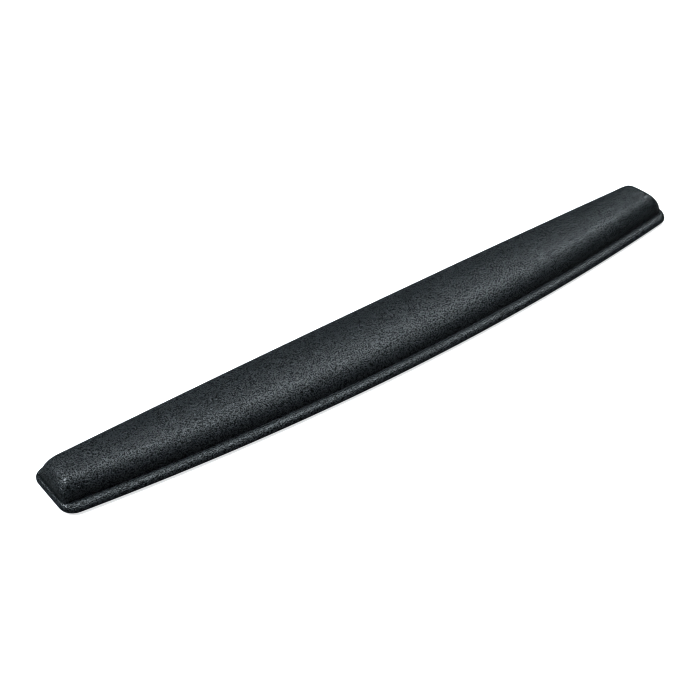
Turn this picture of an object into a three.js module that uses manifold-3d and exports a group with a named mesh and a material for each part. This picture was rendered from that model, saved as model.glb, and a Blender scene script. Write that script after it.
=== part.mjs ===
// Keyboard-length wrist rest: a leatherette-covered foam pad on a moulded base plate.
//
// Units are millimetres. X runs along the rest, -Y is the bowed edge nearest the user, +Y is
// the nearly straight edge beside the keyboard, and +Z is up. The origin lies on the desk, at
// the centre of the footprint's bounding box.
//
// "Inset" is always the distance inwards from the outermost line of the rim, seen from above.

import * as THREE from 'three';
import { mergeVertices } from 'three/addons/utils/BufferGeometryUtils.js';
import Module from 'manifold-3d';

const wasm = await Module();
wasm.setup();

// ---- Driving dimensions: plan ----

const LENGTH = 470;
const END_DEPTH = 41.6;
const FRONT_BOW = 16.9;
const BACK_BOW = 4.2;
const FRONT_CORNER_RADIUS = 9.6;
const BACK_CORNER_RADIUS = 8.8;

// ---- Driving dimensions: layers, as heights above the desk ----

const GRIP_TOP = 0.9;
const BASE_BOND_TOP = 1;
const HEM_TAPE_THICKNESS = 0.1;
const CORE_BOND_THICKNESS = 0.1;
const PLATE_TOP = 2.05;
const CORE_TOP = 9;
const PAD_TOP = 19;

// ---- Driving dimensions: cover ----

const COVER_THICKNESS = 0.65;
const FIT_GAP = 0.3;
const BEAD_TOP = 5.9;
const BEAD_WAIST = 2.6;
const BEAD_SHARE = 0.72;
const CREASE_SLOPE = 0.3;
const CREASE_RUN = 2.2;
const HEM_INSET = 7.8;

// ---- Driving dimensions: padded crown ----

const FRONT_FOOT_INSET = 6.2;
const BACK_FOOT_INSET = 5;
const END_FOOT_INSET = 2.1;
const FALL_BASE = 3.2;
const FRONT_FALL_SHARE = 0.26;
const BACK_FALL = 8.5;
const END_FALL_FRONT = 7;
const END_FALL_BACK = 14.5;
const SIDE_FALL_POWER = 2;
const END_FALL_POWER = 1.9;
const SIDE_SHOULDER_POWER = 2;
const END_SHOULDER_POWER = 2.3;
const DOME_RADIUS = 65;
const DOME_SHIFT = 2.5;
const BULGE = 1.1;
const BULGE_HEIGHT = 12;

// ---- Driving dimensions: insets of the hidden layers ----

const GRIP_INSET = 2.6;
const BASE_BOND_INSET = 3;
const TAPE_INSET = 3;
const TAPE_WIDTH = 4.6;
const REBATE_INSET = 8.2;
const CORE_BOND_INSET = 7.5;

// ---- Mesh density ----

const STATIONS_ALONG = 20;
const STATIONS_PER_CORNER = 4;
const STATIONS_PER_END = 4;
const ROLL_STEPS = 2;
const BEAD_STEPS = 4;
const VALLEY_STEPS = 2;
const CROWN_STEPS = 8;
const CROWN_SPACING_POWER = 1.8;
const ARC_SEGMENTS = 8;
const FOOT_SEARCH_STEPS = 30;
const WELD_DISTANCE = 1e-4;

// ---- Derived sizes ----

const HALF_LENGTH = LENGTH / 2;
const CENTRE_SHIFT = (FRONT_BOW - BACK_BOW) / 2;
const HEM_TOP = BASE_BOND_TOP + COVER_THICKNESS;
const HEM_TAPE_TOP = HEM_TOP + HEM_TAPE_THICKNESS;
const LINING_DEPTH = COVER_THICKNESS + FIT_GAP;
const CORE_BOND_TOP = PLATE_TOP + CORE_BOND_THICKNESS;
const ROLL_RADIUS = BEAD_WAIST - BASE_BOND_TOP;
const SPINE_HALF = HALF_LENGTH - END_DEPTH / 2;

const FRONT = edgeArc(-1, FRONT_BOW, FRONT_CORNER_RADIUS);
const BACK = edgeArc(1, BACK_BOW, BACK_CORNER_RADIUS);
const STATIONS = outlineStations();
const FOOT_INSETS = STATIONS.map(footInset);

// ---- Plan outline ----

// One long edge as a shallow arc that runs tangentially into its two corner arcs.
// The side is -1 for the user's edge and 1 for the keyboard's.
function edgeArc(side, bow, cornerRadius) {
  const radius = (HALF_LENGTH ** 2 + bow ** 2) / (2 * bow);
  const centreY = CENTRE_SHIFT + side * (END_DEPTH / 2 + bow - radius);
  const cornerX = HALF_LENGTH - cornerRadius;
  const cornerRise = Math.sqrt((radius - cornerRadius) ** 2 - cornerX ** 2);
  return {
    side,
    radius,
    centreY,
    cornerRadius,
    cornerX,
    cornerY: centreY + side * cornerRise,
    tangentAngle: Math.atan2(cornerRise, cornerX),
  };
}

function edgeY(edge, inset, x) {
  return edge.centreY + edge.side * Math.sqrt((edge.radius - inset) ** 2 - x ** 2);
}

// A station is a point on the outline, its outward normal, and how far along the pad's
// spine (-1 to 1) the cross-section through it ends.
function edgeStations(edge) {
  const reach = edge.radius * Math.cos(edge.tangentAngle);
  const list = [];
  for (let i = 0; i <= STATIONS_ALONG; i++) {
    const share = -edge.side * Math.sin(Math.PI * (i / STATIONS_ALONG - 0.5));
    const x = share * reach;
    const y = edgeY(edge, 0, x);
    list.push({ x, y, nx: x / edge.radius, ny: (y - edge.centreY) / edge.radius, share });
  }
  return list;
}

function cornerStations(edge, end, towardsEnd) {
  const list = [];
  for (let i = 1; i < STATIONS_PER_CORNER + 1; i++) {
    const step = i / (STATIONS_PER_CORNER + 1);
    const angle = edge.tangentAngle * (towardsEnd ? 1 - step : step);
    const nx = end * Math.cos(angle);
    const ny = edge.side * Math.sin(angle);
    const x = end * edge.cornerX + edge.cornerRadius * nx;
    const y = edge.cornerY + edge.cornerRadius * ny;
    list.push({ x, y, nx, ny, share: end });
  }
  return list;
}

function endStations(end) {
  const from = end > 0 ? FRONT : BACK;
  const to = end > 0 ? BACK : FRONT;
  const list = [];
  for (let i = 0; i <= STATIONS_PER_END; i++) {
    const y = THREE.MathUtils.lerp(from.cornerY, to.cornerY, i / STATIONS_PER_END);
    list.push({ x: end * HALF_LENGTH, y, nx: end, ny: 0, share: end });
  }
  return list;
}

// Counter-clockwise from above, starting at the left end of the user's edge.
function outlineStations() {
  return [
    ...edgeStations(FRONT),
    ...cornerStations(FRONT, 1, true),
    ...endStations(1),
    ...cornerStations(BACK, 1, false),
    ...edgeStations(BACK),
    ...cornerStations(BACK, -1, true),
    ...endStations(-1),
    ...cornerStations(FRONT, -1, false),
  ];
}

// The outline moved inwards, as a shape of true arcs and straight ends.
function outlineShape(inset) {
  const shape = new THREE.Shape();
  const quarter = Math.PI / 2;
  const front = FRONT.tangentAngle;
  const back = BACK.tangentAngle;
  const frontCorner = FRONT.cornerRadius - inset;
  const backCorner = BACK.cornerRadius - inset;
  shape.absarc(0, FRONT.centreY, FRONT.radius - inset, front - 2 * quarter, -front, false);
  shape.absarc(FRONT.cornerX, FRONT.cornerY, frontCorner, -front, 0, false);
  shape.absarc(BACK.cornerX, BACK.cornerY, backCorner, 0, back, false);
  shape.absarc(0, BACK.centreY, BACK.radius - inset, back, 2 * quarter - back, false);
  shape.absarc(-BACK.cornerX, BACK.cornerY, backCorner, 2 * quarter - back, 2 * quarter, false);
  shape.absarc(-FRONT.cornerX, FRONT.cornerY, frontCorner, 2 * quarter, 2 * quarter + front, false);
  return shape;
}

// ---- Height of the padded crown ----

// Middle of the pad's width at x.
function middleY(x) {
  return (edgeY(FRONT, FRONT_FOOT_INSET, x) + edgeY(BACK, BACK_FOOT_INSET, x)) / 2;
}

// How far each side's fall still has to rise at a point: 1 at its foot, 0 once past it.
// The user's side falls over a share of the local depth, and the ends fall more softly
// towards the keyboard.
function fallsLeft(x, y) {
  const left = (distance, run) => Math.max(0, 1 - distance / run);
  const fromFront = y - edgeY(FRONT, FRONT_FOOT_INSET, x);
  const fromBack = edgeY(BACK, BACK_FOOT_INSET, x) - y;
  const fromEnd = HALF_LENGTH - END_FOOT_INSET - Math.abs(x);
  const depth = fromFront + fromBack;
  const towardsBack = THREE.MathUtils.clamp(fromFront / depth, 0, 1);
  const endFall = THREE.MathUtils.lerp(END_FALL_FRONT, END_FALL_BACK, towardsBack);
  const front = left(fromFront, FRONT_FALL_SHARE * depth);
  const back = left(fromBack, BACK_FALL);
  return { side: Math.max(front, back), end: left(fromEnd, endFall) };
}

// Share of the full height that a fall has reached.
function risen(fallLeft, shoulderPower, fallPower) {
  return Math.max(0, 1 - fallLeft ** shoulderPower) ** (1 / fallPower);
}

// Height of the pad: a shallow dome that falls away roundly on all sides.
function crownHeight(x, y) {
  const { side, end } = fallsLeft(x, y);
  const off = y - middleY(x) - DOME_SHIFT;
  const dome = PAD_TOP - FALL_BASE - off ** 2 / (2 * DOME_RADIUS);
  const sideShare = risen(side, SIDE_SHOULDER_POWER, SIDE_FALL_POWER);
  const endShare = risen(end, END_SHOULDER_POWER, END_FALL_POWER);
  return FALL_BASE + dome * sideShare * endShare;
}

// Inset at which the crown starts, searched for along a station's normal.
function footInset(station) {
  let low = 0;
  let high = HEM_INSET;
  for (let i = 0; i < FOOT_SEARCH_STEPS; i++) {
    const middle = (low + high) / 2;
    const { x, y } = pointAt(station, middle, 0);
    const { side, end } = fallsLeft(x, y);
    if (Math.max(side, end) > 1) {
      low = middle;
    } else {
      high = middle;
    }
  }
  return low;
}

// The crease at the crown's foot lies lower where the foot is further in.
function creaseHeight(foot) {
  return BEAD_TOP - CREASE_SLOPE * foot * (1 - BEAD_SHARE);
}

// ---- Rings of points that follow the outline ----

function ringAt(inset, height) {
  return STATIONS.map((station) => pointAt(station, inset, height));
}

function pointAt({ x, y, nx, ny }, inset, height) {
  return new THREE.Vector3(x - nx * inset, y - ny * inset, height);
}

// The underside's roll: from the flat underside (0) out to the bead's waist (1).
function rollRing(step, lining) {
  const angle = (Math.PI / 2) * (step - 1);
  const radius = ROLL_RADIUS - lining;
  return ringAt(ROLL_RADIUS - radius * Math.cos(angle), BEAD_WAIST + radius * Math.sin(angle));
}

// The bead's outer side, from its waist (0) in and up to its top (1).
function beadRing(step, lining) {
  const angle = (Math.PI / 2) * step;
  const height = BEAD_WAIST + (BEAD_TOP - BEAD_WAIST - lining) * Math.sin(angle);
  return STATIONS.map((station, k) => {
    const width = BEAD_SHARE * FOOT_INSETS[k];
    return pointAt(station, width - (width - lining) * Math.cos(angle), height);
  });
}

// The bead's inner side, from its top (0) down to the crease at the crown's foot (1).
function valleyRing(step, lining) {
  const share = 1 - Math.cos((Math.PI / 2) * step);
  return STATIONS.map((station, k) => {
    const foot = FOOT_INSETS[k];
    const inset = foot * THREE.MathUtils.lerp(BEAD_SHARE, 1, step);
    const height = THREE.MathUtils.lerp(BEAD_TOP, creaseHeight(foot), share);
    return pointAt(station, inset, height - lining);
  });
}

// Rings over the rolled edge bead, from its underside up and in to the crown's foot, moved
// inwards by a lining depth.
function rimRings(lining) {
  const rings = [];
  for (let i = 0; i < ROLL_STEPS; i++) {
    rings.push(rollRing(i / ROLL_STEPS, lining));
  }
  for (let i = 0; i <= BEAD_STEPS; i++) {
    rings.push(beadRing(i / BEAD_STEPS, lining));
  }
  for (let i = 1; i <= VALLEY_STEPS; i++) {
    rings.push(valleyRing(i / VALLEY_STEPS, lining));
  }
  return rings;
}

// Rings from the crown's foot up to its spine, closer together on the flanks.
function crownRings() {
  const foot = valleyRing(1, 0);
  const rings = [];
  for (let i = 1; i <= CROWN_STEPS; i++) {
    const step = (i / CROWN_STEPS) ** CROWN_SPACING_POWER;
    rings.push(foot.map((start, k) => crownPoint(start, STATIONS[k], step)));
  }
  return rings;
}

// The crown springs from the crease, and its stuffed flanks stand out a little over it.
function crownPoint(start, { nx, ny, share }, step) {
  const spineX = share * SPINE_HALF;
  const x = THREE.MathUtils.lerp(start.x, spineX, step);
  const y = THREE.MathUtils.lerp(start.y, middleY(spineX), step);
  const stillIn = Math.max(0, 1 - Math.hypot(x - start.x, y - start.y) / CREASE_RUN);
  const height = THREE.MathUtils.lerp(start.z, crownHeight(x, y), Math.sqrt(1 - stillIn ** 2));
  const bulge = BULGE * Math.sin(Math.PI * Math.min((height - start.z) / BULGE_HEIGHT, 1));
  return new THREE.Vector3(x + nx * bulge, y + ny * bulge, height);
}

// ---- Meshing ----

// Gives points that coincide one shared vertex, and keeps the order in which they appear.
function welded(points) {
  const vertexAt = new Map();
  const vertices = [];
  const vertexOf = points.map((point) => {
    const key = point.toArray().map((value) => Math.round(value / WELD_DISTANCE)).join();
    if (!vertexAt.has(key)) {
      vertexAt.set(key, vertices.length);
      vertices.push(point);
    }
    return vertexAt.get(key);
  });
  return { vertices, vertexOf };
}

// An open skin of triangles between neighbouring rings. The rings run inwards over the top,
// so the faces point out. The last ring may fold flat onto the spine.
function skinGeometry(rings) {
  const count = STATIONS.length;
  const { vertices, vertexOf } = welded(rings.flat());
  const index = [];
  const addTriangle = (a, b, c) => {
    if (a !== b && b !== c && c !== a) {
      index.push(a, b, c);
    }
  };
  for (let k = 0; k + 1 < rings.length; k++) {
    for (let i = 0; i < count; i++) {
      const next = (i + 1) % count;
      const low = vertexOf[k * count + i];
      const lowNext = vertexOf[k * count + next];
      const high = vertexOf[(k + 1) * count + i];
      const highNext = vertexOf[(k + 1) * count + next];
      addTriangle(low, lowNext, highNext);
      addTriangle(low, highNext, high);
    }
  }
  const geometry = new THREE.BufferGeometry().setFromPoints(vertices);
  geometry.setIndex(index);
  return geometry;
}

// A copy of an open skin, moved inwards along its normals.
function movedInwards(skin, distance) {
  skin.computeVertexNormals();
  const moved = skin.clone();
  const position = moved.attributes.position;
  const normal = skin.attributes.normal;
  const point = new THREE.Vector3();
  const shift = new THREE.Vector3();
  for (let i = 0; i < position.count; i++) {
    point.fromBufferAttribute(position, i);
    shift.fromBufferAttribute(normal, i);
    point.addScaledVector(shift, -distance);
    position.setXYZ(i, point.x, point.y, point.z);
  }
  return moved;
}

// An open skin closed by a second skin inside it, with a narrow wall where both end.
// The skins' first ring, which is their open edge, comes first in each list of points.
function shellGeometry(outer, inner) {
  const count = STATIONS.length;
  const offset = outer.attributes.position.count;
  const index = [...outer.index.array];
  const source = inner.index.array;
  for (let i = 0; i < source.length; i += 3) {
    index.push(source[i] + offset, source[i + 2] + offset, source[i + 1] + offset);
  }
  for (let i = 0; i < count; i++) {
    const next = (i + 1) % count;
    index.push(i, i + offset, next, next, i + offset, next + offset);
  }
  const geometry = new THREE.BufferGeometry();
  const points = [...outer.attributes.position.array, ...inner.attributes.position.array];
  geometry.setAttribute('position', new THREE.Float32BufferAttribute(points, 3));
  geometry.setIndex(index);
  return geometry;
}

// Fills one ring of an open skin, given by its first vertex, with a flat face.
function addFlatFace(skin, first, facesUp) {
  const position = skin.attributes.position;
  const contour = STATIONS.map((_, i) => {
    return new THREE.Vector2(position.getX(first + i), position.getY(first + i));
  });
  const index = [...skin.index.array];
  for (const [a, b, c] of THREE.ShapeUtils.triangulateShape(contour, [])) {
    index.push(first + a, first + (facesUp ? b : c), first + (facesUp ? c : b));
  }
  skin.setIndex(index);
}

function toManifold(geometry) {
  const bare = geometry.clone();
  bare.deleteAttribute('normal');
  bare.deleteAttribute('uv');
  const merged = mergeVertices(bare, WELD_DISTANCE);
  const mesh = new wasm.Mesh({
    numProp: 3,
    vertProperties: new Float32Array(merged.attributes.position.array),
    triVerts: new Uint32Array(merged.index.array),
  });
  return new wasm.Manifold(mesh);
}

function fromManifold(solid) {
  const mesh = solid.getMesh();
  const geometry = new THREE.BufferGeometry();
  geometry.setAttribute('position', new THREE.BufferAttribute(mesh.vertProperties, 3));
  geometry.setIndex(new THREE.BufferAttribute(mesh.triVerts, 1));
  return geometry;
}

// The part of a solid between two heights.
function sliced(solid, bottom, top) {
  const slab = new THREE.BoxGeometry(2 * LENGTH, 2 * LENGTH, top - bottom);
  slab.translate(0, 0, (top + bottom) / 2);
  return fromManifold(solid.intersect(toManifold(slab)));
}

// ---- Materials ----

function finish(colour, roughness) {
  return new THREE.MeshStandardMaterial({ color: colour, roughness, metalness: 0 });
}

const LEATHERETTE = finish(0x1b1c1e, 0.55);
const MEMORY_FOAM = finish(0xd9d2bd, 0.95);
const FIRM_FOAM = finish(0x55585c, 0.95);
const MOULDED_PLASTIC = finish(0x24262a, 0.6);
const ADHESIVE = finish(0xd8d6c8, 0.4);
const RUBBER = finish(0x141516, 0.85);

// ---- Pieces ----

// Leatherette skin: crown, valley and edge bead, then a hem turned under the plate.
function coverGeometry() {
  const hem = ringAt(HEM_INSET, BASE_BOND_TOP);
  const outer = skinGeometry([hem, ...rimRings(0), ...crownRings()]);
  return shellGeometry(outer, movedInwards(outer, COVER_THICKNESS));
}

// The whole foam block under the cover, before it is split into its two layers. It starts
// one cover thickness below the crease, clear of the fold there.
function foamBlock() {
  const root = STATIONS.map((station, k) => pointAt(station, FOOT_INSETS[k], 0));
  const outer = skinGeometry([root, valleyRing(1, COVER_THICKNESS), ...crownRings()]);
  const block = movedInwards(outer, LINING_DEPTH);
  addFlatFace(block, 0, false);
  return toManifold(block);
}

// Moulded tray: a lip that fills the bead, a flat floor for the foam, and a rebate
// underneath that takes the hem.
function basePlateGeometry() {
  const rings = [
    ringAt(REBATE_INSET, BASE_BOND_TOP),
    ringAt(REBATE_INSET, HEM_TAPE_TOP),
    ringAt(TAPE_INSET, HEM_TAPE_TOP),
    ...rimRings(LINING_DEPTH),
    STATIONS.map((station, k) => pointAt(station, FOOT_INSETS[k], PLATE_TOP)),
  ];
  const plate = skinGeometry(rings);
  addFlatFace(plate, 0, false);
  addFlatFace(plate, plate.attributes.position.count - STATIONS.length, true);
  return plate;
}

function sheetGeometry(inset, bottom, top, width = 0) {
  const shape = outlineShape(inset);
  if (width > 0) {
    shape.holes.push(outlineShape(inset + width));
  }
  const options = { depth: top - bottom, bevelEnabled: false, curveSegments: ARC_SEGMENTS };
  const geometry = new THREE.ExtrudeGeometry(shape, options);
  geometry.translate(0, 0, bottom);
  return geometry;
}

// ---- Assembly ----

const wristRest = new THREE.Group();

function addPiece(name, geometry, material) {
  const mesh = new THREE.Mesh(geometry, material);
  mesh.name = name;
  wristRest.add(mesh);
}

const foam = foamBlock();
const gripSheet = sheetGeometry(GRIP_INSET, 0, GRIP_TOP);
const baseBond = sheetGeometry(BASE_BOND_INSET, GRIP_TOP, BASE_BOND_TOP);
const hemTape = sheetGeometry(TAPE_INSET, HEM_TOP, HEM_TAPE_TOP, TAPE_WIDTH);
const coreBond = sheetGeometry(CORE_BOND_INSET, PLATE_TOP, CORE_BOND_TOP);

addPiece('cover', coverGeometry(), LEATHERETTE);
addPiece('comfort_layer', sliced(foam, CORE_TOP + FIT_GAP, PAD_TOP), MEMORY_FOAM);
addPiece('support_core', sliced(foam, CORE_BOND_TOP, CORE_TOP), FIRM_FOAM);
addPiece('core_bond_sheet', coreBond, ADHESIVE);
addPiece('base_plate', basePlateGeometry(), MOULDED_PLASTIC);
addPiece('hem_bond_tape', hemTape, ADHESIVE);
addPiece('base_bond_sheet', baseBond, ADHESIVE);
addPiece('nonslip_sheet', gripSheet, RUBBER);

export default wristRest;
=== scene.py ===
"""Looks of the keyboard wrist rest: soft leatherette cover, foam, tray and grip sheet."""
import math

import bmesh
import bpy
import numpy as np
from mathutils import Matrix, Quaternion, Vector, noise


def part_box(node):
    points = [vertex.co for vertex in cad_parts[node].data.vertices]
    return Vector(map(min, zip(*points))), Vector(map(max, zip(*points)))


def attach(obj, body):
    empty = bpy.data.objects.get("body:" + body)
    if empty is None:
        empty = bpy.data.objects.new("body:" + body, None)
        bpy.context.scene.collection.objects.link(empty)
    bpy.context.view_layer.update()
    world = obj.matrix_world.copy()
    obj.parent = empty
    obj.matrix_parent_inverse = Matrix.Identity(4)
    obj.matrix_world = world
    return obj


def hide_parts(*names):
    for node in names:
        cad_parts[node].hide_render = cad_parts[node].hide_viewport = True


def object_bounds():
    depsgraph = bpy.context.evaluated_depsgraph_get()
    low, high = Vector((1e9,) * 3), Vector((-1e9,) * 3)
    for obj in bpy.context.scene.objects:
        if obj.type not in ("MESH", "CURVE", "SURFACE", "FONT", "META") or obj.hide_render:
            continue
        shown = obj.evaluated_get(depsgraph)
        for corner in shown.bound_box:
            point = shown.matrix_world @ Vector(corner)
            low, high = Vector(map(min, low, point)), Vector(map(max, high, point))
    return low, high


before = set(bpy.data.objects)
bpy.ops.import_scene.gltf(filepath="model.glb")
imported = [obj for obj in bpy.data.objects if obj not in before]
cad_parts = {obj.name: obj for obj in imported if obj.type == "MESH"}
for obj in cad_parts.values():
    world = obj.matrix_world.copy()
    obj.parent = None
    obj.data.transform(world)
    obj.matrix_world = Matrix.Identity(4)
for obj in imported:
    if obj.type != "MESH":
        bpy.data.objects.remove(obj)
cad_low, cad_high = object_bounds()

# ---- Sizes in millimetres; inset means inwards from the outermost line of the rim ----

MM = 0.001
LENGTH = (cad_high.x - cad_low.x) / MM
PAD_TOP = cad_high.z / MM
FRONT_BOW = 16.9
BACK_BOW = 4.2
END_DEPTH = (cad_high.y - cad_low.y) / MM - FRONT_BOW - BACK_BOW
FRONT_CORNER_RADIUS = 9.6
BACK_CORNER_RADIUS = 8.8

BASE_BOND_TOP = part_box("base_bond_sheet")[1].z / MM
PLATE_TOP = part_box("core_bond_sheet")[0].z / MM
CORE_BOND_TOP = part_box("core_bond_sheet")[1].z / MM
GRIP_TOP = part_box("nonslip_sheet")[1].z / MM
CORE_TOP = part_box("support_core")[1].z / MM
HEM_TAPE_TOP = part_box("hem_bond_tape")[1].z / MM

# Rim: a bead with a rolled underside, a crease inside it, and a hem turned under the tray.
COVER_THICKNESS = 0.65
FIT_GAP = 0.3
LINING_DEPTH = COVER_THICKNESS + FIT_GAP
BEAD_TOP = 5.9
BEAD_WAIST = 2.6
BEAD_SHARE = 0.72
CREASE_SLOPE = 0.3
CREASE_RUN = 2.2
HEM_INSET = 7.8
TAPE_INSET = 3.0
REBATE_INSET = 8.2
GRIP_INSET = 2.6

# Crown: from its foot line it rises over the front, back and end falls into a shallow dome.
FRONT_FOOT_INSET = 6.2
BACK_FOOT_INSET = 5.0
END_FOOT_INSET = 2.1
FALL_BASE = 3.2
FRONT_FALL_SHARE = 0.26
BACK_FALL = 8.5
END_FALL_FRONT = 7.0
END_FALL_BACK = 14.5
SIDE_FALL_POWER = 2.0
END_FALL_POWER = 1.9
SIDE_SHOULDER_POWER = 2.0
END_SHOULDER_POWER = 2.3
DOME_RADIUS = 65.0
DOME_SHIFT = 2.5
BULGE = 1.1
BULGE_HEIGHT = 12.0

# Softness: a ridge near the top of each end fall, placed and sized as shares of the fall,
# and an uneven swell all over.
RIDGE = 0.5
RIDGE_LEFT = 0.15
RIDGE_WIDTH = 0.3
SWELL = 0.22
SWELL_LENGTH = 34.0

WAFFLE_PITCH = 4.4
WAFFLE_DEPTH = 0.44
WAFFLE_STEEPNESS = 1.6
WAFFLE_EDGE_RUN = 1 / 12

FLOOR_RADIUS = 2600.0

# Mesh density. Stations are counted along a long edge, round a corner and across an end;
# bead rings on the roll, the bead and the crease.
COVER_STATIONS = (64, 6, 8)
LINING_STATIONS = (48, 5, 6)
BEAD_RINGS = (3, 6, 3)
COVER_CROWN_RINGS = 18
FOAM_CROWN_RINGS = 14
CROWN_SPACING_POWER = 1.9

HALF_LENGTH = LENGTH / 2
CENTRE_SHIFT = (FRONT_BOW - BACK_BOW) / 2
SPINE_HALF = HALF_LENGTH - END_DEPTH / 2

# ---- Plan outline ----


class Edge:
    """One long edge: a shallow arc that runs tangentially into its two corner arcs."""

    def __init__(self, side, bow, corner_radius):
        self.side = side
        self.radius = (HALF_LENGTH ** 2 + bow ** 2) / (2 * bow)
        self.centre_y = CENTRE_SHIFT + side * (END_DEPTH / 2 + bow - self.radius)
        self.corner_radius = corner_radius
        self.corner_x = HALF_LENGTH - corner_radius
        rise = math.sqrt((self.radius - corner_radius) ** 2 - self.corner_x ** 2)
        self.corner_y = self.centre_y + side * rise
        self.tangent_angle = math.atan2(rise, self.corner_x)

    def y(self, inset, x):
        return self.centre_y + self.side * np.sqrt((self.radius - inset) ** 2 - x ** 2)


FRONT = Edge(-1, FRONT_BOW, FRONT_CORNER_RADIUS)
BACK = Edge(1, BACK_BOW, BACK_CORNER_RADIUS)


def edge_stations(edge, count):
    reach = edge.radius * math.cos(edge.tangent_angle)
    rows = []
    for i in range(count + 1):
        angle = math.pi * (i / count - 0.5)
        share = -edge.side * (0.5 * math.sin(angle) + 0.5 * (2 * i / count - 1))
        x = share * reach
        y = float(edge.y(0, x))
        rows.append((x, y, x / edge.radius, (y - edge.centre_y) / edge.radius, share))
    return rows


def corner_stations(edge, end, towards_end, count):
    rows = []
    for i in range(1, count + 1):
        step = i / (count + 1)
        angle = edge.tangent_angle * (1 - step if towards_end else step)
        nx, ny = end * math.cos(angle), edge.side * math.sin(angle)
        x = end * edge.corner_x + edge.corner_radius * nx
        rows.append((x, edge.corner_y + edge.corner_radius * ny, nx, ny, end))
    return rows


def end_stations(end, start, stop, count):
    rows = []
    for i in range(count + 1):
        step = i / count
        y = start.corner_y * (1 - step) + stop.corner_y * step
        rows.append((end * HALF_LENGTH, y, end, 0.0, end))
    return rows


def outline_stations(along, per_corner, per_end):
    """Rows of x, y, outward normal and share of the spine, counter-clockwise from above."""
    return np.array(
        edge_stations(FRONT, along) + corner_stations(FRONT, 1, True, per_corner)
        + end_stations(1, FRONT, BACK, per_end) + corner_stations(BACK, 1, False, per_corner)
        + edge_stations(BACK, along) + corner_stations(BACK, -1, True, per_corner)
        + end_stations(-1, BACK, FRONT, per_end) + corner_stations(FRONT, -1, False, per_corner)
    )


# ---- Crown ----


def middle_y(x):
    return (FRONT.y(FRONT_FOOT_INSET, x) + BACK.y(BACK_FOOT_INSET, x)) / 2


def falls_left(x, y):
    """How far the side and end falls still have to rise: 1 at their foot, 0 once past them."""
    front_foot = FRONT.y(FRONT_FOOT_INSET, x)
    back_foot = BACK.y(BACK_FOOT_INSET, x)
    depth = back_foot - front_foot
    end_fall = END_FALL_FRONT + (END_FALL_BACK - END_FALL_FRONT) * np.clip((y - front_foot) / depth, 0, 1)
    front = np.maximum(0, 1 - (y - front_foot) / (FRONT_FALL_SHARE * depth))
    back = np.maximum(0, 1 - (back_foot - y) / BACK_FALL)
    end = 1 - (HALF_LENGTH - END_FOOT_INSET - np.abs(x)) / end_fall
    return np.maximum(front, back), end


def swell(x, y):
    """Uneven stuffing: 0 where the pad is fullest, 1 where it has settled most."""
    here = zip(np.ravel(x) / SWELL_LENGTH, np.ravel(y) / SWELL_LENGTH)
    levels = [0.5 - 0.5 * noise.noise(Vector((a, b, 0.0))) for a, b in here]
    return np.reshape(levels, np.shape(x))


def crown_height(x, y):
    side, end = falls_left(x, y)
    off = y - middle_y(x) - DOME_SHIFT
    dome = PAD_TOP - FALL_BASE - off ** 2 / (2 * DOME_RADIUS)
    ridge = RIDGE * np.exp(-((end - RIDGE_LEFT) / RIDGE_WIDTH) ** 2)
    dome = dome + ridge - SWELL * swell(x, y)
    side_share = np.maximum(0, 1 - side ** SIDE_SHOULDER_POWER) ** (1 / SIDE_FALL_POWER)
    end_share = np.maximum(0, 1 - np.maximum(0, end) ** END_SHOULDER_POWER) ** (1 / END_FALL_POWER)
    return FALL_BASE + dome * side_share * end_share


def ring(stations, inset, height):
    """Points along the outline moved inwards; inset may differ from station to station."""
    x = stations[:, 0] - stations[:, 2] * inset
    y = stations[:, 1] - stations[:, 3] * inset
    return np.stack([x, y, np.broadcast_to(height, x.shape)], 1)


def foot_insets(stations):
    low = np.zeros(len(stations))
    high = np.full(len(stations), HEM_INSET)
    for _ in range(40):
        middle = (low + high) / 2
        at = ring(stations, middle, 0.0)
        outside = np.maximum(*falls_left(at[:, 0], at[:, 1])) > 1
        low = np.where(outside, middle, low)
        high = np.where(outside, high, middle)
    return low


def crease_height(foot):
    return BEAD_TOP - CREASE_SLOPE * foot * (1 - BEAD_SHARE)


def bead_rings(stations, lining, roll_steps, bead_steps, valley_steps):
    """Rolled underside, rounded top and inner side of the edge bead, up to the crown's foot."""
    foot = foot_insets(stations)
    width = BEAD_SHARE * foot
    roll = BEAD_WAIST - BASE_BOND_TOP
    rings = []
    for i in range(roll_steps):
        angle = math.pi / 2 * (i / roll_steps - 1)
        inset = roll - (roll - lining) * math.cos(angle)
        rings.append(ring(stations, inset, BEAD_WAIST + (roll - lining) * math.sin(angle)))
    for i in range(bead_steps + 1):
        angle = math.pi / 2 * i / bead_steps
        inset = width - (width - lining) * math.cos(angle)
        rings.append(ring(stations, inset, BEAD_WAIST + (BEAD_TOP - BEAD_WAIST - lining) * math.sin(angle)))
    for i in range(1, valley_steps + 1):
        step = i / valley_steps
        fall = (BEAD_TOP - crease_height(foot)) * (1 - math.cos(math.pi / 2 * step))
        rings.append(ring(stations, width + (foot - width) * step, BEAD_TOP - lining - fall))
    return rings


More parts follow.
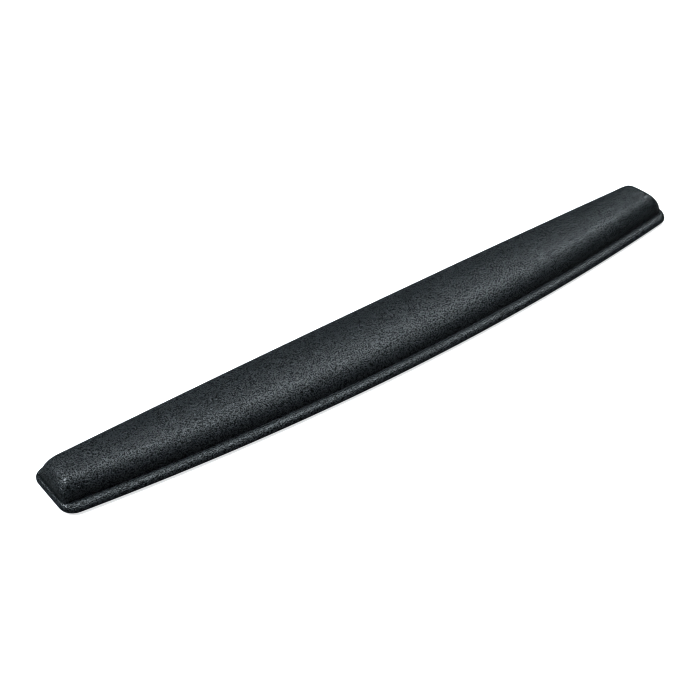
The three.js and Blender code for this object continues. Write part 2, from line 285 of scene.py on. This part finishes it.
def crown_rings(stations, steps):
    """Rings from just above the foot line up to the spine, closest together near the foot."""
    insets = foot_insets(stations)
    foot = ring(stations, insets, crease_height(insets))
    spine_x = stations[:, 4] * SPINE_HALF
    spine_y = middle_y(spine_x)
    rings = []
    for i in range(1, steps + 1):
        step = (i / steps) ** CROWN_SPACING_POWER
        x = foot[:, 0] * (1 - step) + spine_x * step
        y = foot[:, 1] * (1 - step) + spine_y * step
        still_in = np.maximum(0, 1 - np.hypot(x - foot[:, 0], y - foot[:, 1]) / CREASE_RUN)
        sprung = np.sqrt(1 - still_in ** 2)
        height = foot[:, 2] * (1 - sprung) + crown_height(x, y) * sprung
        bulge = BULGE * np.sin(np.pi * np.minimum((height - foot[:, 2]) / BULGE_HEIGHT, 1))
        rings.append(np.stack([x + stations[:, 2] * bulge, y + stations[:, 3] * bulge, height], 1))
    return rings


# ---- Meshing ----


def mesh_object(name, points, faces):
    mesh = bpy.data.meshes.new(name)
    mesh.from_pydata((np.asarray(points) * MM).tolist(), [], faces)
    mesh.validate()
    thing = bpy.data.objects.new(name, mesh)
    bpy.context.scene.collection.objects.link(thing)
    return thing


def ring_faces(count, rings):
    faces = []
    for k in range(rings - 1):
        for i in range(count):
            j = (i + 1) % count
            faces.append((k * count + i, k * count + j, (k + 1) * count + j, (k + 1) * count + i))
    return faces


def edit(thing, *steps):
    work = bmesh.new()
    work.from_mesh(thing.data)
    for step in steps:
        step(work)
    work.to_mesh(thing.data)
    work.free()
    return thing


def weld(work):
    bmesh.ops.remove_doubles(work, verts=work.verts, dist=1e-6)
    bmesh.ops.dissolve_degenerate(work, edges=work.edges, dist=1e-7)


def close(work):
    edges = [e for e in work.edges if e.is_boundary]
    bmesh.ops.holes_fill(work, edges=edges, sides=0)
    bmesh.ops.triangulate(work, faces=[f for f in work.faces if len(f.verts) > 4])
    bmesh.ops.recalc_face_normals(work, faces=work.faces)


def keep_between(bottom, top):
    def cut(work):
        for height, up in ((bottom, -1), (top, 1)):
            everything = work.verts[:] + work.edges[:] + work.faces[:]
            bmesh.ops.bisect_plane(
                work, geom=everything, plane_co=(0, 0, height * MM), plane_no=(0, 0, up), clear_outer=True
            )
    return cut


def moved_inwards(distance):
    def move(work):
        work.normal_update()
        for v in work.verts:
            v.co -= v.normal * distance * MM
    return move


def smooth(thing):
    thing.data.shade_smooth()
    return thing


def modify(thing, kind, **settings):
    modifier = thing.modifiers.new(kind.title(), kind)
    for key, value in settings.items():
        setattr(modifier, key, value)


# ---- Pieces ----


def build_cover():
    stations = outline_stations(*COVER_STATIONS)
    rings = [ring(stations, HEM_INSET, BASE_BOND_TOP)]
    rings += bead_rings(stations, 0.0, *BEAD_RINGS)
    rings += crown_rings(stations, COVER_CROWN_RINGS)
    skin = mesh_object("leatherette_cover", np.concatenate(rings), ring_faces(len(stations), len(rings)))
    edit(skin, weld)
    modify(skin, "SOLIDIFY", thickness=COVER_THICKNESS * MM, offset=-1, use_even_offset=False)
    modify(skin, "SUBSURF", levels=1, render_levels=1)
    return smooth(skin)


def build_foam(name, bottom, top):
    stations = outline_stations(*LINING_STATIONS)
    foot = foot_insets(stations)
    rings = [ring(stations, foot, 0.0), ring(stations, foot, crease_height(foot) - COVER_THICKNESS)]
    rings += crown_rings(stations, FOAM_CROWN_RINGS)
    block = mesh_object(name, np.concatenate(rings), ring_faces(len(stations), len(rings)))
    edit(block, weld, moved_inwards(LINING_DEPTH), close, keep_between(bottom, top), close)
    return block


def build_tray():
    stations = outline_stations(*LINING_STATIONS)
    rings = [ring(stations, REBATE_INSET, BASE_BOND_TOP)]
    rings.append(ring(stations, REBATE_INSET, HEM_TAPE_TOP))
    rings.append(ring(stations, TAPE_INSET, HEM_TAPE_TOP))
    rings += bead_rings(stations, LINING_DEPTH, *BEAD_RINGS)
    rings.append(ring(stations, foot_insets(stations), PLATE_TOP))
    tray = mesh_object("moulded_tray", np.concatenate(rings), ring_faces(len(stations), len(rings)))
    return edit(tray, close)


def grip_outline(edge, x):
    """One long side of the rubber sheet: the edge's arc, then its corner arc."""
    corner_start = (edge.radius - GRIP_INSET) * math.cos(edge.tangent_angle)
    reach = edge.corner_radius - GRIP_INSET
    inside = np.maximum(reach ** 2 - (np.abs(x) - edge.corner_x) ** 2, 0)
    corner = edge.corner_y + edge.side * np.sqrt(inside)
    return np.where(np.abs(x) > corner_start, corner, edge.y(GRIP_INSET, x))


def waffle(x, y, across):
    """Height of the sheet's underside, flat along its two long sides."""
    wave = np.cos(x * 2 * math.pi / WAFFLE_PITCH) * np.cos(y * 2 * math.pi / WAFFLE_PITCH)
    fade = np.minimum(np.minimum(across, 1 - across) / WAFFLE_EDGE_RUN, 1)
    return WAFFLE_DEPTH / 2 * (1 - np.clip(wave * WAFFLE_STEEPNESS, -1, 1) * fade)


def sheet_faces(columns, rows):
    """Bottom, top and rim of a sheet whose points are two grids, one above the other."""
    layer = columns * rows
    faces = []
    for i in range(columns - 1):
        for j in range(rows - 1):
            a, b = i * rows + j, (i + 1) * rows + j
            faces.append((a, a + 1, b + 1, b))
            faces.append((layer + a, layer + b, layer + b + 1, layer + a + 1))
    rim = [i * rows for i in range(columns)]
    rim += [(columns - 1) * rows + j for j in range(1, rows)]
    rim += [i * rows + rows - 1 for i in range(columns - 2, -1, -1)]
    rim += list(range(rows - 2, 0, -1))
    for a, b in zip(rim, rim[1:] + rim[:1]):
        faces.append((a, b, layer + b, layer + a))
    return faces


def build_grip():
    """Rubber sheet with a waffled underside; its columns crowd towards the rounded ends."""
    columns, rows = 420, 56
    share = np.linspace(-1, 1, columns)
    x = (0.15 * np.sin(share * math.pi / 2) + 0.85 * share) * (HALF_LENGTH - GRIP_INSET)
    across = np.linspace(0, 1, rows)
    grid_x = np.repeat(x[:, None], rows, 1)
    grid_y = grip_outline(FRONT, x)[:, None] * (1 - across) + grip_outline(BACK, x)[:, None] * across
    bottom = np.stack([grid_x, grid_y, waffle(grid_x, grid_y, across)], 2)
    top = np.stack([grid_x, grid_y, np.full_like(grid_x, GRIP_TOP)], 2)
    points = np.concatenate([bottom.reshape(-1, 3), top.reshape(-1, 3)])
    return edit(mesh_object("grip_sheet", points, sheet_faces(columns, rows)), weld)


# ---- Materials ----


class Nodes:
    """Short calls for building one procedural material, or the world's shader."""

    def __init__(self, name, kind="Material"):
        library = bpy.data.worlds if kind == "World" else bpy.data.materials
        self.owner = library.new(name)
        self.owner.use_nodes = True
        self.tree = self.owner.node_tree
        self.tree.nodes.clear()
        self.output = self.tree.nodes.new("ShaderNodeOutput" + kind)

    def add(self, kind, inputs=None, **settings):
        node = self.tree.nodes.new("ShaderNode" + kind)
        for key, value in settings.items():
            setattr(node, key, value)
        for key, value in (inputs or {}).items():
            self.put(node, key, value)
        return node

    def put(self, node, key, value):
        if isinstance(value, bpy.types.NodeSocket):
            self.tree.links.new(value, node.inputs[key])
        else:
            node.inputs[key].default_value = value

    def place(self):
        """Object position in millimetres."""
        at = self.add("TexCoord").outputs["Object"]
        return self.add("VectorMath", {0: at, 1: (1000, 1000, 1000)}, operation="MULTIPLY").outputs[0]

    def noise(self, at, scale, detail=2.0, rough=0.5):
        node = self.add("TexNoise", {"Vector": at, "Scale": scale, "Detail": detail, "Roughness": rough})
        return node.outputs["Fac"]

    def ramp(self, value, low, high, to_low, to_high, smooth_step=True):
        kind = "SMOOTHSTEP" if smooth_step else "LINEAR"
        inputs = {0: value, 1: low, 2: high, 3: to_low, 4: to_high}
        return self.add("MapRange", inputs, interpolation_type=kind).outputs[0]

    def maths(self, operation, a, b, c=0.0):
        return self.add("Math", {0: a, 1: b, 2: c}, operation=operation).outputs[0]

    def mix(self, share, a, b):
        node = self.add("Mix", data_type="RGBA")
        for key, value in ((0, share), (6, a), (7, b)):
            self.put(node, key, value)
        return node.outputs[2]

    def bump(self, height, distance, strength):
        return self.add("Bump", {"Height": height, "Distance": distance, "Strength": strength}).outputs[0]

    def finish(self, shader):
        self.tree.links.new(shader.outputs[0], self.output.inputs[0])
        return self.owner

    def surface(self, **inputs):
        node = self.add("BsdfPrincipled")
        for key, value in inputs.items():
            self.put(node, key.replace("_", " "), value)
        return self.finish(node)


def grey(level):
    return (level, level, level, 1.0)


def leatherette():
    """Fine irregular pebble: the high spots are shinier and carry a painted highlight, the creases between
    carry painted shade, and a random tone is mixed in.
    """
    n = Nodes("leatherette")
    at = n.place()
    sway = n.add("TexNoise", {"Vector": at, "Scale": 0.9, "Detail": 2.0})
    bent = n.add("VectorMath", {0: sway.outputs["Color"], 1: (0.5, 0.5, 0.5)}, operation="MULTIPLY_ADD")
    n.put(bent, 2, at)
    pebble = n.add("TexVoronoi", {"Vector": bent.outputs[0], "Scale": 1.15}, feature="SMOOTH_F1")
    n.put(pebble, "Smoothness", 0.3)
    dome = n.ramp(pebble.outputs["Distance"], 0.1, 0.62, 1.0, 0.0)
    tone = n.ramp(n.noise(at, 1.2, 1.0), 0.38, 0.62, 0.0, 1.0)
    worn = n.ramp(n.noise(at, 0.035, 3.0, 0.55), 0.35, 0.65, -0.03, 0.03)
    # Mask of the painted highlight on the pebble tops and painted shade in the creases, mixed with a tone
    # that varies at random.
    painted_glint_and_tone = n.maths("MULTIPLY_ADD", dome, 0.45, n.maths("MULTIPLY", tone, 0.55))
    rough = n.maths("ADD", n.ramp(painted_glint_and_tone, 0.0, 1.0, 0.36, 0.28), worn)
    # Base colour: painted highlight on the pebble tops, painted shade in the creases, plus the random tone.
    colour = n.mix(painted_glint_and_tone, (0.0, 0.0, 0.0, 1), (0.02, 0.0245, 0.027, 1))
    shine = n.ramp(painted_glint_and_tone, 0.1, 0.9, 0.08, 0.95, False)
    normal = n.bump(n.maths("ADD", tone, dome), 0.00012, 0.8)
    return n.surface(Base_Color=colour, Roughness=rough, Specular_IOR_Level=shine, Normal=normal)


def foam(name, light, dark, cell):
    n = Nodes(name)
    at = n.place()
    cells = n.add("TexVoronoi", {"Vector": at, "Scale": cell}, feature="F1").outputs["Distance"]
    tone = n.noise(at, 0.08, 3.0)
    # Darker dots at the cell centres are painted shade in the foam's pores; the tone noise varies at
    # random.
    painted_pore_shade_and_tone = n.maths("MULTIPLY", n.ramp(cells, 0.0, 0.6, 0.0, 1.0), n.ramp(tone, 0.3, 0.7, 0.6, 1.0))
    rough = n.ramp(tone, 0, 1, 0.85, 0.97)
    normal = n.bump(cells, 0.0002, 0.7)
    return n.surface(Base_Color=n.mix(painted_pore_shade_and_tone, dark, light), Roughness=rough, Normal=normal)


def moulded():
    n = Nodes("moulded_plastic")
    at = n.place()
    spark = n.noise(at, 2.5, 4.0, 0.7)
    wear = n.noise(at, 0.05, 4.0, 0.6)
    rough = n.maths("ADD", n.ramp(spark, 0.3, 0.7, 0.5, 0.6), n.ramp(wear, 0.4, 0.7, 0.0, -0.1))
    colour = n.mix(wear, (0.012, 0.013, 0.015, 1), (0.024, 0.025, 0.028, 1))
    return n.surface(Base_Color=colour, Roughness=rough, Normal=n.bump(spark, 0.00004, 0.6))


def rubber():
    n = Nodes("grip_rubber")
    at = n.place()
    dust = n.noise(at, 0.12, 5.0, 0.65)
    skin = n.noise(at, 3.0, 3.0, 0.6)
    colour = n.mix(n.ramp(dust, 0.45, 0.75, 0.0, 1.0), (0.006, 0.006, 0.0065, 1), (0.02, 0.019, 0.018, 1))
    rough = n.ramp(dust, 0.3, 0.7, 0.72, 0.9)
    return n.surface(Base_Color=colour, Roughness=rough, Normal=n.bump(skin, 0.00005, 0.6))


def adhesive():
    n = Nodes("adhesive")
    at = n.place()
    streak = n.noise(at, 0.4, 4.0, 0.6)
    bubble = n.add("TexVoronoi", {"Vector": at, "Scale": 0.7}, feature="F1").outputs["Distance"]
    height = n.maths("ADD", streak, n.ramp(bubble, 0.0, 0.25, 0.6, 0.0))
    colour = n.mix(streak, (0.52, 0.5, 0.4, 1), (0.68, 0.66, 0.58, 1))
    rough = n.ramp(streak, 0.3, 0.7, 0.25, 0.5)
    return n.surface(Base_Color=colour, Roughness=rough, Normal=n.bump(height, 0.00005, 0.5))


def coat(thing, material):
    thing.data.materials.clear()
    thing.data.materials.append(material)


def dress(thing, material, node):
    coat(thing, material)
    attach(thing, "root")
    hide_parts(node)


# ---- Stage ----


def floor_mesh():
    sides, rings = 96, 24
    points, faces = [(0.0, 0.0, 0.0)], []
    for k in range(1, rings + 1):
        radius = FLOOR_RADIUS * (k / rings) ** 2
        for i in range(sides):
            angle = 2 * math.pi * i / sides
            points.append((radius * math.cos(angle), radius * math.sin(angle), 0.0))
    for i in range(sides):
        faces.append((0, 1 + i, 1 + (i + 1) % sides))
    for k in range(rings - 1):
        for i in range(sides):
            a, b = 1 + k * sides + i, 1 + k * sides + (i + 1) % sides
            faces.append((a, a + sides, b + sides, b))
    return mesh_object("floor", points, faces)


def floor_material():
    """Pale where the camera sees it, darker in reflections, clear towards its edge."""
    n = Nodes("floor")
    at = n.place()
    far = n.add("VectorMath", {0: at}, operation="LENGTH").outputs["Value"]
    fade = n.ramp(far, 900.0, 2300.0, 0.0, 1.0)
    mottle = n.noise(at, 0.01, 3.0)
    seen = n.add("LightPath").outputs["Is Camera Ray"]
    pale = n.mix(mottle, grey(0.86), grey(0.9))
    base = n.add("BsdfPrincipled", {
        "Base Color": n.mix(seen, grey(0.1), pale), "Roughness": 0.9, "Specular IOR Level": 0.1,
        "Emission Color": grey(1.0), "Emission Strength": n.maths("MULTIPLY", seen, 0.7),
    })
    clear = n.add("BsdfTransparent")
    return n.finish(n.add("MixShader", {0: fade, 1: base.outputs[0], 2: clear.outputs[0]}))


def build_floor():
    floor = floor_mesh()
    floor.data.materials.append(floor_material())


def area_light(name, place, target, width, height, power, turn=0.0):
    data = bpy.data.lights.new(name, "AREA")
    data.shape = "ELLIPSE"
    data.size, data.size_y = width, height
    data.energy = power
    data.color = (0.9, 1.0, 1.06)
    light = bpy.data.objects.new(name, data)
    bpy.context.scene.collection.objects.link(light)
    light.location = place
    aim = (Vector(target) - Vector(place)).to_track_quat("-Z", "Y")
    light.rotation_euler = (aim @ Quaternion((0, 0, 1), math.radians(turn))).to_euler()


def build_world():
    """White to the camera; a dim room to everything else, darker low down and lighter on the left."""
    n = Nodes("studio", "World")
    way = n.add("SeparateXYZ", {0: n.add("TexCoord").outputs["Generated"]}).outputs
    upper = n.ramp(way["Z"], 0.05, 0.9, 0.045, 0.17, False)
    left = n.ramp(way["X"], -0.95, -0.2, 0.08, 0.0, False)
    room = n.add("Background", {"Color": (0.86, 1.0, 1.07, 1), "Strength": n.maths("ADD", upper, left)})
    white = n.add("Background", {"Color": grey(1.0)})
    seen = n.add("LightPath").outputs["Is Camera Ray"]
    both = n.add("MixShader", {0: seen, 1: room.outputs[0], 2: white.outputs[0]})
    bpy.context.scene.world = n.finish(both)


def build_camera():
    azimuth, elevation, roll = math.radians(-36.44), math.radians(39.18), math.radians(-0.92)
    distance = 0.9271
    target = Vector((-0.0242, 0.00795, 0))
    level = math.cos(elevation)
    back = Vector((math.sin(azimuth) * level, -math.cos(azimuth) * level, math.sin(elevation)))
    data = bpy.data.cameras.new("camera")
    data.sensor_width = 36
    data.lens = 76.75
    data.clip_start = 0.01
    data.clip_end = 30
    camera = bpy.data.objects.new("camera", data)
    bpy.context.scene.collection.objects.link(camera)
    camera.location = target + back * distance
    aim = (-back).to_track_quat("-Z", "Y") @ Quaternion((0, 0, 1), roll)
    camera.rotation_euler = aim.to_euler()
    bpy.context.scene.camera = camera


# ---- Assembly ----

memory_foam = foam("memory_foam", (0.72, 0.66, 0.5, 1), (0.45, 0.4, 0.28, 1), 2.2)
firm_foam = foam("firm_foam", (0.12, 0.125, 0.135, 1), (0.05, 0.052, 0.058, 1), 1.5)
glue = adhesive()

dress(build_cover(), leatherette(), "cover")
dress(build_foam("comfort_foam", CORE_TOP + FIT_GAP, PAD_TOP), memory_foam, "comfort_layer")
dress(build_foam("support_foam", CORE_BOND_TOP, CORE_TOP), firm_foam, "support_core")
dress(build_tray(), moulded(), "base_plate")
dress(build_grip(), rubber(), "nonslip_sheet")
for name in ("core_bond_sheet", "hem_bond_tape", "base_bond_sheet"):
    coat(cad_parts[name], glue)

build_floor()
build_world()
area_light("overhead", (1.6, 0.2, 2.5), (1.6, 0.2, 0), 5.2, 1.3, 95, 8)
area_light("ridge", (-1.6, 0.65, 2.2), (-0.2, 0, 0), 1.0, 1.4, 75)
build_camera()
bpy.context.scene.view_settings.view_transform = "Standard"
bpy.context.scene.cycles.max_bounces = 6
bpy.context.scene.cycles.filter_width = 1.0
